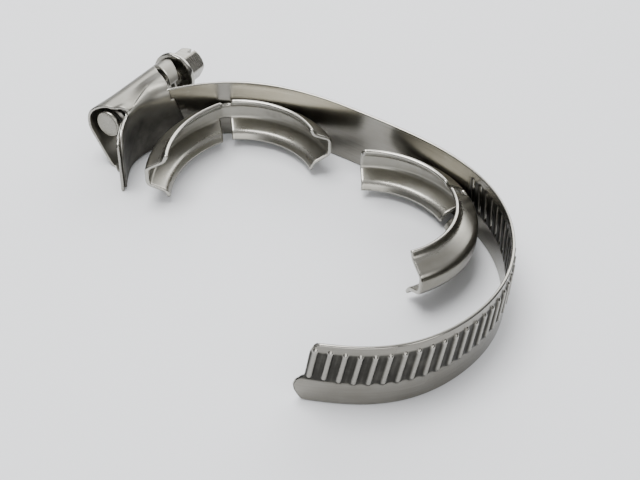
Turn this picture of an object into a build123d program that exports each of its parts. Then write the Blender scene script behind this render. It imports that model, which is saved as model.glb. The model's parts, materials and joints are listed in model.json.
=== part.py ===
from build123d import *
import math
import os

# ----------------------------------------------------------------------------
# Worm-drive V-retainer band clamp, sprung open, standing on the band's edge.
# +Z runs across the band (band width), the pipe axis is parallel to Z.
# All lengths are millimetres.  W is the band width, from which the rest is set.
# ----------------------------------------------------------------------------
W = 15.875                 # band width, 5/8 in
T_BAND = 0.70              # band sheet thickness
T_RET = 0.90               # retainer sheet thickness
T_HSG = 0.75               # housing sheet thickness
LINK_GAP = 0.50            # gap between two flexing lengths of the band

# Band centreline in plan: tangent arcs, each SEG long, from the housing seam to the tail tip.
START = (-2.4974, 2.4313)  # in band widths
START_HEADING = 28.03      # degrees
KAPPA = [-0.3555, -0.4115, -0.498, -0.4359, -0.2856, -0.2485, -0.1669, -0.0324, -0.0577,
         -0.1712, -0.2583, -0.3088, -0.3741, -0.4305, -0.4178, -0.3868, -0.3982, -0.4371,
         -0.4227, -0.385, -0.4626, -0.5786, -0.5023, -0.2951, -0.2104]   # 1 / band widths
SEG = [0.451] * 24 + [0.345]
LENGTH = sum(SEG)
FLEX_MID = [2.30, 3.20, 4.10]                 # where the band bends between the retainers
FLEX_TAIL = [5.49, 6.56, 7.63, 8.70, 9.77]    # where the tail bends
R_SADDLE = 1.27            # band centreline radius inside the housing, band widths
SADDLE_SWEEP = 76.5        # degrees of it, seam to tongue tip

# Pressed worm threads on the tail
RIB_PITCH = 2.83
RIB_COUNT = 31
RIB_FIRST = 5.552          # band widths from the seam
RIB_WIDTH = 1.55
RIB_LENGTH = 8.30
RIB_RAISE = 0.50
RIB_MID_Z = 0.625 * W
RIB_SLANT = 8.5

# V-retainers: section (outer face), depth inwards and half height across the band
RET_MID_Z = 0.498 * W
RET_WEB = 0.151 * W        # half the flat web
RET_DEPTH = 0.352 * W
RET_HALF = 0.399 * W       # half height at the lips
RET_KNEE = (0.285 * W, 0.283 * W)   # where the flank turns into the flared lip (depth, half height)
SLIT_W = 0.17 * W
LEFT_TANGENT = 1.3794
LEFT_R1, LEFT_L1 = 2.1022, 2.2215           # far half
LEFT_KINK, LEFT_SLIT = 0.4312, 0.20         # bend at the relief slit, its length
LEFT_R2, LEFT_BACK, LEFT_FWD = 1.5369, 0.406, 1.7232
RIGHT_TANGENT = 4.9252
RIGHT_R, RIGHT_FWD, RIGHT_BACK = 1.55, 2.9215, 1.3952
RIGHT_SLIT_ANGLE = 21.2

# Screw and housing, in the screw's own directions: u along it, v outwards, z up
SCREW_TIP = (-3.375, 1.92)
SCREW_HEADING = 63.0
SCREW_Z = 0.655
R_THREAD, R_ROOT, R_TIP = 0.245 * W, 0.180 * W, 0.222 * W
R_NECK = 0.165 * W
R_COLLAR, T_COLLAR = 0.388 * W, 0.095 * W
HEX_AF = 7.94              # 5/16 in across flats
U_TIP, U_THREAD_END, U_COLLAR, U_HEAD_END = -0.10, 1.22, 1.68, 2.25
THREAD_PITCH = 2.83
R_HUMP = 0.325              # outer radius of the roof over the screw
NECK_WALL_U = (1.33, 1.38)
R_NECK_HOLE = 0.200 * W
Z_ROOF = 1.075             # housing roof over the band, band widths
Z_FLOOR = 0.02             # thickness of the coined fold under the band, band widths

os.makedirs("parts", exist_ok=True)


# ---------------------------------------------------------------- plan helpers
def advance(x, y, h, k, d):
    """Move d along an arc of signed curvature k (all in band widths)."""
    hm = h + k * d / 2
    f = math.sin(k * d / 2) / (k * d / 2) if abs(k * d) > 1e-9 else 1.0
    return x + d * f * math.cos(hm), y + d * f * math.sin(hm), h + k * d


def band_at(s):
    """Point and heading of the band centreline s band widths from the seam."""
    x, y, h = START[0], START[1], math.radians(START_HEADING)
    done = 0.0
    for k, ds in zip(KAPPA, SEG):
        d = min(ds, s - done)
        if d <= 1e-12:
            break
        x, y, h = advance(x, y, h, k, d)
        done += d
    return x, y, h


def offset(p, d):
    """Point d mm to the left of the heading (the band's outer side)."""
    x, y, h = p
    return x * W - d * math.sin(h), y * W + d * math.cos(h)


def strip(states, inner, outer, z0, z1):
    """Sheet between two offsets of a chain of arcs.  states: [(point, mid point, end point), ...]."""
    edges = []
    for a, m, b in states:
        edges.append(ThreePointArc(offset(a, outer), offset(m, outer), offset(b, outer)))
    edges.append(Line(offset(states[-1][2], outer), offset(states[-1][2], inner)))
    for a, m, b in reversed(states):
        edges.append(ThreePointArc(offset(b, inner), offset(m, inner), offset(a, inner)))
    edges.append(Line(offset(states[0][0], inner), offset(states[0][0], outer)))
    face = make_face(edges)
    return Pos(0, 0, z0) * extrude(face, amount=(z1 - z0), dir=(0, 0, 1))


def band_states(s0, s1):
    cuts = [0.0]
    for ds in SEG:
        cuts.append(cuts[-1] + ds)
    inner = [c for c in cuts if s0 + 0.02 < c < s1 - 0.02]
    marks = [s0] + inner + [s1]
    return [(band_at(a), band_at((a + b) / 2), band_at(b)) for a, b in zip(marks, marks[1:])]


def tangent_plane(s, off):
    """Plane on the band at s: x along it, y up, normal outwards."""
    x, y, h = band_at(s)
    px, py = offset((x, y, h), off)
    return Plane(origin=(px, py, 0), x_dir=(math.cos(h + math.pi), math.sin(h + math.pi), 0),
                 z_dir=(-math.sin(h), math.cos(h), 0))


# ---------------------------------------------------------------- band
def rib_positions():
    return [RIB_FIRST + i * RIB_PITCH / W for i in range(RIB_COUNT)]


def with_ribs(body, s0, s1):
    """Press the worm threads: a rounded bar raised outwards, a groove behind it."""
    for s in rib_positions():
        if not (s0 + 0.075 < s < s1 - 0.075):
            continue
        outer = tangent_plane(s, T_BAND / 2 - 0.15)
        bar = SlotOverall(RIB_LENGTH, RIB_WIDTH, rotation=90 - RIB_SLANT)
        bar = outer * (Pos(0, RIB_MID_Z) * bar)
        body += extrude(bar, amount=RIB_RAISE + 0.15)
        inner = tangent_plane(s, -T_BAND / 2 - 0.30)
        groove = inner * (Pos(0, RIB_MID_Z) * SlotOverall(RIB_LENGTH - 0.7, RIB_WIDTH - 0.7, rotation=90 - RIB_SLANT))
        body -= extrude(groove, amount=0.62)
    for s, way in ((s0, -1), (s1, 1)):
        if s > RIB_FIRST - 0.3 and s < LENGTH - 0.01:
            x, y, h = band_at(s)
            end = Plane(origin=(x * W, y * W, W / 2), x_dir=(math.cos(h), math.sin(h), 0), z_dir=(0, 0, 1))
            body -= end * (Pos(way * 2.0, 0, 0) * Box(4.0, 4.0, 1.2 * W))
    return body


def band_length(s0, s1):
    return with_ribs(strip(band_states(s0, s1), -T_BAND / 2, T_BAND / 2, 0, W), s0, s1)


def saddle_states(sweep, r_off=0.0):
    """Band line backwards from the seam through the housing, written in its own direction."""
    x, y, h = START[0], START[1], math.radians(START_HEADING)
    total = math.radians(sweep) * R_SADDLE
    back = [advance(x, y, h, -1 / R_SADDLE, -total * f) for f in (1.0, 0.5, 0.0)]
    return [tuple(back)]


def tongue_cutter(y_end, radius, top):
    """Removes the tongue beyond y_end and rounds its top corner (works on the near-straight end)."""
    yb = y_end * W
    r = radius * W
    pts = Polyline((yb, -1), (yb - 12, -1), (yb - 12, top + 2), (yb + r * 1.4, top + 2), (yb + r * 1.4, top))
    curve = [(yb + r * 1.4 * (1 - math.sin(a_)), top - r * (1 - math.cos(a_)))
             for a_ in (math.radians(v) for v in (0, 22.5, 45, 67.5, 90))]
    arc = Spline(*curve, tangents=[(-1, 0), (0, -1)])
    face = make_face([pts, arc, Line((yb, top - r), (yb, -1))])
    return Plane(origin=(-3.8 * W, 0, 0), x_dir=(0, 1, 0), z_dir=(1, 0, 0)) * face


gap = LINK_GAP / 2 / W
bounds = FLEX_MID + FLEX_TAIL

fixed_end = strip(saddle_states(SADDLE_SWEEP) + band_states(0.0, FLEX_MID[0] - gap), -T_BAND / 2, T_BAND / 2, 0, W)
# inside the housing the lower edge is relieved for the housing's bottom fold
relief = strip(saddle_states(62.0), -T_BAND, T_BAND, -1, (Z_FLOOR + 0.005) * W)
fixed_end -= relief
fixed_end -= extrude(tongue_cutter(0.965, 0.45, W), amount=1.6 * W)

links = {}
names = ["band_flex_1", "band_flex_2", "band_right_section", "band_tail_1", "band_tail_2", "band_tail_3",
         "band_tail_4", "band_tail_end"]
ends = bounds + [LENGTH]
for i, name in enumerate(names):
    s0 = bounds[i] + gap
    s1 = ends[i + 1] - gap if i < len(names) - 1 else LENGTH
    links[name] = band_length(s0, s1)

# tail end outline: rounded top corner, slanted cut down to a notch, lower tongue with a round nose
xt = -0.020 * W
end_profile = make_face([
    Polyline((xt + 1.1, W + 2), (xt + 1.1, W)),
    ThreePointArc((xt + 1.1, W), (xt + 0.25, W - 0.37), (xt - 0.33, W - 1.2)),
    Polyline((xt - 0.33, W - 1.2), (-0.066 * W, 0.85 * W), (-0.118 * W, 0.46 * W)),
    ThreePointArc((-0.118 * W, 0.46 * W), (-0.135 * W, 0.415 * W), (-0.165 * W, 0.40 * W)),
    ThreePointArc((-0.165 * W, 0.40 * W), (-0.262 * W, 0.25 * W), (-0.205 * W, 0.08 * W)),
    ThreePointArc((-0.205 * W, 0.08 * W), (-0.16 * W, 0.02 * W), (-0.10 * W, 0.0)),
    Polyline((-0.10 * W, 0.0), (-0.10 * W, -2), (-1.2 * W, -2), (-1.2 * W, W + 2), (xt + 1.1, W + 2)),
])
links["band_tail_end"] -= extrude(Plane(origin=(0, -3.4 * W, 0), x_dir=(1, 0, 0), z_dir=(0, -1, 0)) * end_profile,
                                  amount=0.8 * W, both=True)


# ---------------------------------------------------------------- retainers
def channel_profile(web_only=False):
    """Half-open V channel in (depth inwards, height from the middle), outer face and inner face."""
    t = T_RET
    if web_only:
        return make_face(Polyline((0, -RET_WEB), (0, RET_WEB), (t, RET_WEB), (t, -RET_WEB), close=True))
    kd, kh = RET_KNEE
    flank = math.atan2(kh - RET_WEB, kd)
    outer = [(0.0, RET_WEB - 0.35), (0.12, RET_WEB - 0.08), (0.42, RET_WEB + 0.14), (kd - 0.25, kh - 0.12),
             (kd + 0.08, kh + 0.10), (kd + 0.30, kh + 0.40), (RET_DEPTH - 0.10, RET_HALF), (RET_DEPTH, RET_HALF)]
    dx, dy = math.sin(flank) * t, -math.cos(flank) * t
    inner = [(RET_DEPTH, RET_HALF - t * 0.75), (kd + 0.75, kh + 0.02), (kd + 0.15, kh - t * 0.92),
             (0.42 + dx * 1.05, RET_WEB + 0.14 + dy), (t + 0.05, RET_WEB - 0.95), (t, RET_WEB - 1.25)]
    up = outer + inner
    down = [(a, -b) for a, b in reversed(up)]
    return make_face(Polyline(*up, *down, close=True))


def sweep_arc(p, r, length, web_only=False):
    """Revolve the channel from state p along a clockwise arc (its outer face has radius r, band widths)."""
    x, y, h = p
    cx, cy = (x + r * math.sin(h)) * W, (y - r * math.cos(h)) * W
    sec = Plane(origin=(x * W, y * W, RET_MID_Z), x_dir=(math.sin(h), -math.cos(h), 0),
                z_dir=(math.cos(h), math.sin(h), 0)) * channel_profile(web_only)
    axis = Axis((cx, cy, 0), (0, 0, -1))
    return revolve(sec, axis, math.degrees(length / r))


def inner_face(s):
    x, y, h = band_at(s)
    px, py = offset((x, y, h), -T_BAND / 2)
    return px / W, py / W, h


def end_trim(p, side):
    """Rounds the lip corners at a channel end: small wedge removed at each lip."""
    return None


p = inner_face(LEFT_TANGENT)
a = advance(*p, -1 / LEFT_R2, -LEFT_BACK)
b = advance(*a, -LEFT_KINK / LEFT_SLIT, -LEFT_SLIT)
c = advance(*b, -1 / LEFT_R1, -LEFT_L1)
retainer_left = (sweep_arc(a, LEFT_R2, LEFT_BACK + LEFT_FWD)
                 + sweep_arc(b, LEFT_SLIT / LEFT_KINK, LEFT_SLIT, web_only=True)
                 + sweep_arc(c, LEFT_R1, LEFT_L1))

p = inner_face(RIGHT_TANGENT)
RIGHT_CENTRE = ((p[0] + RIGHT_R * math.sin(p[2])) * W, (p[1] - RIGHT_R * math.cos(p[2])) * W)
q = advance(*p, -1 / RIGHT_R, -RIGHT_BACK)
retainer_right = sweep_arc(q, RIGHT_R, RIGHT_BACK + RIGHT_FWD)
# the lips' edges are cut true to the tube seat, so that they form one cylinder
R_SEAT = 1.20 * W
seat = Pos(RIGHT_CENTRE[0], RIGHT_CENTRE[1], RET_MID_Z) * Cylinder(R_SEAT, 2 * W)
retainer_right -= seat
ang = math.radians(RIGHT_SLIT_ANGLE)
slit_at = Plane(origin=(RIGHT_CENTRE[0], RIGHT_CENTRE[1], RET_MID_Z), x_dir=(math.cos(ang), math.sin(ang), 0),
                z_dir=(0, 0, 1))
for side in (1, -1):
    cut = Pos((1.10 + (1.55 - 0.05)) / 2 * W, 0, side * (RET_WEB + 2.2 * 1.0)) * Box((1.50 - 1.10) * W, SLIT_W, 4.4)
    retainer_right -= slit_at * cut
    retainer_right -= slit_at * (Pos(1.50 * W, 0, side * (RET_WEB + 0.6 + 1.6)) * Box(0.16 * W, SLIT_W, 3.2))

# ---------------------------------------------------------------- worm screw
hd = math.radians(SCREW_HEADING)
UX, UY = math.cos(hd), math.sin(hd)
VX, VY = -math.sin(hd), math.cos(hd)
screw_plane = Plane(origin=(SCREW_TIP[0] * W, SCREW_TIP[1] * W, SCREW_Z * W), x_dir=(VX, VY, 0), z_dir=(UX, UY, 0))


def turned(points):
    """Solid of revolution about the local z axis from (radius, z) points."""
    face = make_face(Polyline((0, points[0][1]), *points, (0, points[-1][1]), close=True))
    return revolve(Plane.XZ * face, Axis.Z, 360)


ut, ue, uc, uh = (v * W for v in (U_TIP, U_THREAD_END, U_COLLAR, U_HEAD_END))
core = turned([(R_TIP - 0.4, ut), (R_TIP, ut + 0.4), (R_TIP, ut + 1.9), (R_ROOT, ut + 2.3), (R_ROOT, ue - 1.6),
               (R_THREAD, ue - 0.9), (R_THREAD, ue), (R_NECK, ue + 0.1), (R_NECK, uc),
               (R_COLLAR - 0.25, uc), (R_COLLAR, uc + 0.25), (R_COLLAR, uc + T_COLLAR - 0.25),
               (R_COLLAR - 0.25, uc + T_COLLAR), (R_NECK, uc + T_COLLAR)])
thread = None
z_a, z_b = ut + 3.0, ue - 1.9
turns = (z_b - z_a) / THREAD_PITCH
helix = Helix(pitch=THREAD_PITCH, height=z_b - z_a, radius=R_ROOT - 0.25, center=(0, 0, z_a))
tooth = Plane(origin=helix @ 0, x_dir=(1, 0, 0), z_dir=(helix % 0)) * make_face(
    Polyline((0, -1.02), (0, 1.02), (R_THREAD - R_ROOT + 0.25, 0.48), (R_THREAD - R_ROOT + 0.25, -0.48), close=True))
thread = sweep(tooth, path=helix, is_frenet=True)
hexagon = RegularPolygon(HEX_AF / 2, 6, major_radius=False, rotation=-6)
head = Pos(0, 0, uc + T_COLLAR) * extrude(hexagon, amount=uh - uc - T_COLLAR)
head &= turned([(HEX_AF, uc), (HEX_AF, uh - 2.2), (HEX_AF / 2 - 0.25, uh)])
slot = Pos(0, 0, uh) * Box(1.2, 12, 2.4)
head -= Rot(0, 0, 10) * slot
screw_local = core + thread + head
worm_screw = screw_plane * screw_local

# ---------------------------------------------------------------- housing
t = T_HSG / W
hs_plane = Plane(origin=(SCREW_TIP[0] * W, SCREW_TIP[1] * W, 0), x_dir=(VX, VY, 0), z_dir=(UX, UY, 0))


def envelope(shrink):
    """Section over the screw, in (v, z) band widths, shrunk by the sheet thickness."""
    r = R_HUMP - shrink
    vb, zb = -0.13 - shrink * 1.1, (Z_FLOOR if shrink else 0.0)      # bottom outer corner
    top = Z_ROOF - shrink
    d = math.hypot(vb, SCREW_Z - zb)
    phi = math.atan2(SCREW_Z - zb, -vb) - math.asin(r / d)
    ln = math.sqrt(d * d - r * r)
    tx, tz = vb + ln * math.cos(phi), zb + ln * math.sin(phi)
    pts = [(-1.3, zb), (vb, zb), (tx, tz), (0.0, SCREW_Z), (0.0, SCREW_Z + r), (-0.09, SCREW_Z + r * 0.965),
           (-0.16 - shrink * 0.4, SCREW_Z + r * 0.965), (-0.23 - shrink * 0.4, top - 0.035), (-0.30 - shrink * 0.4, top),
           (-1.3, top)]
    face = make_face(Polyline(*[(a * W, b * W) for a, b in pts], close=True))
    face += Pos(0, SCREW_Z * W) * Circle(r * W)
    return hs_plane * face


def extruded(face, u0, u1):
    return extrude(Pos(UX * u0 * W, UY * u0 * W, 0) * face, amount=(u1 - u0) * W, dir=(UX, UY, 0))


ring_c = offset((START[0], START[1], math.radians(START_HEADING)), -R_SADDLE * W)
R_PLATE_OUT = R_SADDLE * W - T_BAND / 2


def ring_cyl(r):
    return Pos(ring_c[0], ring_c[1], W / 2) * Cylinder(r, 3 * W)


def plan_cut(p1, p2, keep_low=True, depth=4.0):
    """Vertical half space bounded by a line through p1 and p2 in (u, v); returns the side to remove (larger u)."""
    (u1, v1), (u2, v2) = p1, p2
    du, dv = u1 - u2, v1 - v2
    ln = math.hypot(du, dv)
    du, dv = du / ln, dv / ln
    far = 3.0
    a = (u2 - du * far, v2 - dv * far)
    b = (u1 + du * far, v1 + dv * far)
    nu, nv = dv, -du                      # to larger u when dv > 0
    if nu < 0:
        nu, nv = -nu, -nv
    cpt = (b[0] + nu * depth, b[1] + nv * depth)
    dpt = (a[0] + nu * depth, a[1] + nv * depth)

    def world(q_):
        return ((SCREW_TIP[0] + q_[0] * UX + q_[1] * VX) * W, (SCREW_TIP[1] + q_[0] * UY + q_[1] * VY) * W)
    face = make_face(Polyline(world(a), world(b), world(cpt), world(dpt), close=True))
    return Pos(0, 0, -W) * extrude(face, amount=3 * W, dir=(0, 0, 1))


sleeve = extruded(envelope(0.0), -0.75, 1.62) - ring_cyl(R_PLATE_OUT) - extruded(envelope(t), -0.95, 1.80)
# beyond the seam the saddle plate ends: drop everything on the ring side there
sleeve -= plan_cut((1.40, 0.20), (0.88, -0.42)) & extruded(
    hs_plane * (Pos(-0.86 * W, 0.5 * W) * Rectangle(1.12 * W, 3 * W)), 0.2, 2.2)
# window punched between roof and neck strap
window = (plan_cut((1.40, 0.20), (0.88, -0.42)) - plan_cut((1.52, 0.25), (1.27, -0.30)))
window &= extruded(hs_plane * (Pos(-0.40 * W, 1.22 * W) * Rectangle(1.24 * W, 1.2 * W)), 0.2, 2.2)
sleeve -= window
sleeve -= plan_cut((1.655, 0.25), (1.654, -0.25))
sleeve -= plan_cut((1.70, 0.05), (1.475, -0.25))
# mouth: everything but the saddle plate is cut back by a slanting plane
m1, m2, m3 = (0.02, -0.32, 1.04), (-0.12, 0.22, 0.88), (-0.20, -0.13, 0.0)


def world3(q_):
    return Vector((SCREW_TIP[0] + q_[0] * UX + q_[1] * VX) * W, (SCREW_TIP[1] + q_[0] * UY + q_[1] * VY) * W, q_[2] * W)


w1, w2, w3 = world3(m1), world3(m2), world3(m3)
nrm = (w2 - w1).cross(w3 - w1).normalized()
if nrm.dot(Vector(UX, UY, 0)) > 0:
    nrm = nrm * -1
mouth = Plane(origin=w1, z_dir=nrm)
mouth_block = extrude(mouth * Rectangle(8 * W, 8 * W), amount=3 * W)
sleeve -= mouth_block
# the bottom fold runs out to a corner beside the tongue


def uv_plan(u, v):
    return (SCREW_TIP[0] + u * UX + v * VX) * W, (SCREW_TIP[1] + u * UY + v * VY) * W


fold = make_face(Polyline(uv_plan(-0.19, -0.13), uv_plan(-0.295, -0.262), uv_plan(-0.26, -0.60), uv_plan(0.20, -0.60),
                          uv_plan(0.20, -0.13), close=True))
sleeve += extrude(fold, amount=Z_FLOOR * W, dir=(0, 0, 1)) - ring_cyl(R_PLATE_OUT)

# saddle plate: follows the band's inner face from the tongue to just past the seam
plate = strip(saddle_states(SADDLE_SWEEP - 4.5), -T_BAND / 2 - T_HSG, -T_BAND / 2, 0.0, Z_ROOF * W)
plate -= extrude(tongue_cutter(1.06, 0.50, Z_ROOF * W), amount=1.6 * W)
x_, y_, h_ = band_at(0.0)
past = strip([(band_at(0.0), band_at(0.17), band_at(0.34))], -T_BAND / 2 - T_HSG, -T_BAND / 2, 0.0, W)
wedge = make_face(Polyline((-0.02 * W, W + 1), (-0.02 * W, W), (0.33 * W, 0.0), (0.33 * W, -1), (1.0 * W, -1), (1.0 * W, W + 1),
                           close=True))
wedge_plane = Plane(origin=(x_ * W, y_ * W, 0), x_dir=(math.cos(h_ - 0.06), math.sin(h_ - 0.06), 0),
                    z_dir=(math.sin(h_ - 0.06), -math.cos(h_ - 0.06), 0))
past -= extrude(wedge_plane * wedge, amount=W, both=True)
screw_housing = sleeve + plate + past
# neck wall: keeps the screw between its thread end and its collar
wall_ring = Circle((R_HUMP - t * 0.4) * W) - Circle(R_NECK_HOLE)
wall_ring -= Pos(-0.5 * W, -0.45 * W) * Rectangle(1.0 * W, 0.9 * W)
neck_wall = extrude(Pos(UX * NECK_WALL_U[0] * W, UY * NECK_WALL_U[0] * W, SCREW_Z * W) * (
    Plane(origin=(SCREW_TIP[0] * W, SCREW_TIP[1] * W, 0), x_dir=(VX, VY, 0), z_dir=(UX, UY, 0)) * wall_ring),
    amount=(NECK_WALL_U[1] - NECK_WALL_U[0]) * W, dir=(UX, UY, 0))
neck_wall -= plan_cut((1.70, 0.05), (1.475, -0.25))
screw_housing += neck_wall

nodes = {"band_fixed_end": fixed_end, **links, "retainer_left": retainer_left, "retainer_right": retainer_right,
         "screw_housing": screw_housing, "worm_screw": worm_screw}

# ---------------------------------------------------------------- common frame and export
whole = Compound(children=[Compound(list(n.solids())) for n in nodes.values()])
bb = whole.bounding_box()
shift = Pos(-(bb.min.X + bb.max.X) / 2, -(bb.min.Y + bb.max.Y) / 2, -bb.min.Z)
print("box", [round(v, 3) for v in (bb.min.X, bb.min.Y, bb.min.Z, bb.max.X, bb.max.Y, bb.max.Z)])
print("shift", [round(v, 4) for v in (-(bb.min.X + bb.max.X) / 2, -(bb.min.Y + bb.max.Y) / 2, -bb.min.Z)])
for s in FLEX_MID + FLEX_TAIL:
    x, y, h = band_at(s)
    print("hinge", s, round(x * W - (bb.min.X + bb.max.X) / 2, 4), round(y * W - (bb.min.Y + bb.max.Y) / 2, 4), "heading", round(math.degrees(h), 2))
print("right centre", round(RIGHT_CENTRE[0] - (bb.min.X + bb.max.X) / 2, 4), round(RIGHT_CENTRE[1] - (bb.min.Y + bb.max.Y) / 2, 4))
print("screw tip", round(SCREW_TIP[0] * W - (bb.min.X + bb.max.X) / 2, 4), round(SCREW_TIP[1] * W - (bb.min.Y + bb.max.Y) / 2, 4), "z", SCREW_Z * W)
for name, shape in nodes.items():
    moved = shift * shape
    solids = list(moved.solids())
    print(name, len(solids), [round(s_.volume, 2) for s_ in solids])
    out = solids[0] if len(solids) == 1 else Compound(solids)
    export_step(out, f"parts/{name}.step")
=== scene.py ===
import bpy
import math
import json
import numpy as np
from mathutils import Vector, Matrix


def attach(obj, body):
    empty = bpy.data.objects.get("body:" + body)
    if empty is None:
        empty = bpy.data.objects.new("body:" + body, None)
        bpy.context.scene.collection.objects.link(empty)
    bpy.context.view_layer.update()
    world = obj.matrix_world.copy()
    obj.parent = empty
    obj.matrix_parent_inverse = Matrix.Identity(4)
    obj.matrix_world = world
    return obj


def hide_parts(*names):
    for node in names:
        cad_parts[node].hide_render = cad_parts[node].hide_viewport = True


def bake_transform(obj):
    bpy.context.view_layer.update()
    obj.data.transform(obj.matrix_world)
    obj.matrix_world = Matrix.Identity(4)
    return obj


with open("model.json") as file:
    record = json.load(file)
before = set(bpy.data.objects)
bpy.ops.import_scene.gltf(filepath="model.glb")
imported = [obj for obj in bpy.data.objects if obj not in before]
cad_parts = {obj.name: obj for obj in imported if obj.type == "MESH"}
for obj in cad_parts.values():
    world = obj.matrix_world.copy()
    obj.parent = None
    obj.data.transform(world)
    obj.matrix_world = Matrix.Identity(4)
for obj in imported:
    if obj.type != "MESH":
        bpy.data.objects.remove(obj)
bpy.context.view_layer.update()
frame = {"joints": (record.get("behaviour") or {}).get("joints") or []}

# ------------------------------------------------------------------ design data (millimetres, band widths)
W = 15.875
T_BAND, T_RET, T_HSG = 0.70, 0.90, 0.75
START, HEAD0 = (-2.4974, 2.4313), math.radians(28.03)
KAPPA = [-0.3555, -0.4115, -0.498, -0.4359, -0.2856, -0.2485, -0.1669, -0.0324, -0.0577,
         -0.1712, -0.2583, -0.3088, -0.3741, -0.4305, -0.4178, -0.3868, -0.3982, -0.4371,
         -0.4227, -0.385, -0.4626, -0.5786, -0.5023, -0.2951, -0.2104]
SEG = [0.451] * 24 + [0.345]
LENGTH = sum(SEG)
R_SADDLE = 1.27
RIB_PITCH, RIB_COUNT, RIB_FIRST = 2.83, 31, 5.552
RIB_MID_Z, RIB_SLANT = 0.625 * W, math.radians(8.5)
SCREW_TIP, SCREW_HEADING, SCREW_Z = (-3.375, 1.92), math.radians(63.0), 0.655
Z_ROOF = 1.075


def advance(x, y, h, k, d):
    hm = h + k * d / 2
    f = math.sin(k * d / 2) / (k * d / 2) if abs(k * d) > 1e-9 else 1.0
    return x + d * f * math.cos(hm), y + d * f * math.sin(hm), h + k * d


def band_at(s):
    if s < 0:
        x, y, h = advance(START[0], START[1], HEAD0, -1 / R_SADDLE, s)
        t = min(1.0, max(0.0, (-0.90 - s) / 0.55))
        d = 0.042 * t * t * (3 - 2 * t)              # the tongue is pressed slightly inwards
        return x + d * math.sin(h), y - d * math.cos(h), h
    x, y, h = START[0], START[1], HEAD0
    done = 0.0
    for k, ds in zip(KAPPA, SEG):
        d = min(ds, s - done)
        if d <= 1e-12:
            break
        x, y, h = advance(x, y, h, k, d)
        done += d
    if s > done:
        x, y, h = advance(x, y, h, KAPPA[-1], s - done)
    return x, y, h


# the common frame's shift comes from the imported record: the first hinge sits on the band line at s = 2.30
_j0 = next(j for j in frame["joints"] if j["name"] == "band_close_1")
_p0 = band_at(2.30)
SHX = _j0["pos_m"][0] * 1000 - _p0[0] * W
SHY = _j0["pos_m"][1] * 1000 - _p0[1] * W


def smooth(a, b, x):
    t = np.clip((x - a) / (b - a), 0, 1)
    return t * t * (3 - 2 * t)


# ------------------------------------------------------------------ sheet metal from a mid-surface grid
class Bag:
    """Vertices, faces and per-vertex data gathered before a mesh is made."""

    def __init__(self):
        self.v, self.f, self.flow, self.wear, self.tag = [], [], [], [], []
        self.n = 0

    def add(self, pts, flow, wear):
        pts = np.asarray(pts, float).reshape(-1, 3)
        k = self.n
        self.v.append(pts)
        self.flow.append(np.asarray(flow, float).reshape(-1, 3))
        self.wear.append(np.broadcast_to(np.asarray(wear, float), (len(pts),)).copy())
        self.n += len(pts)
        return k


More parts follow.
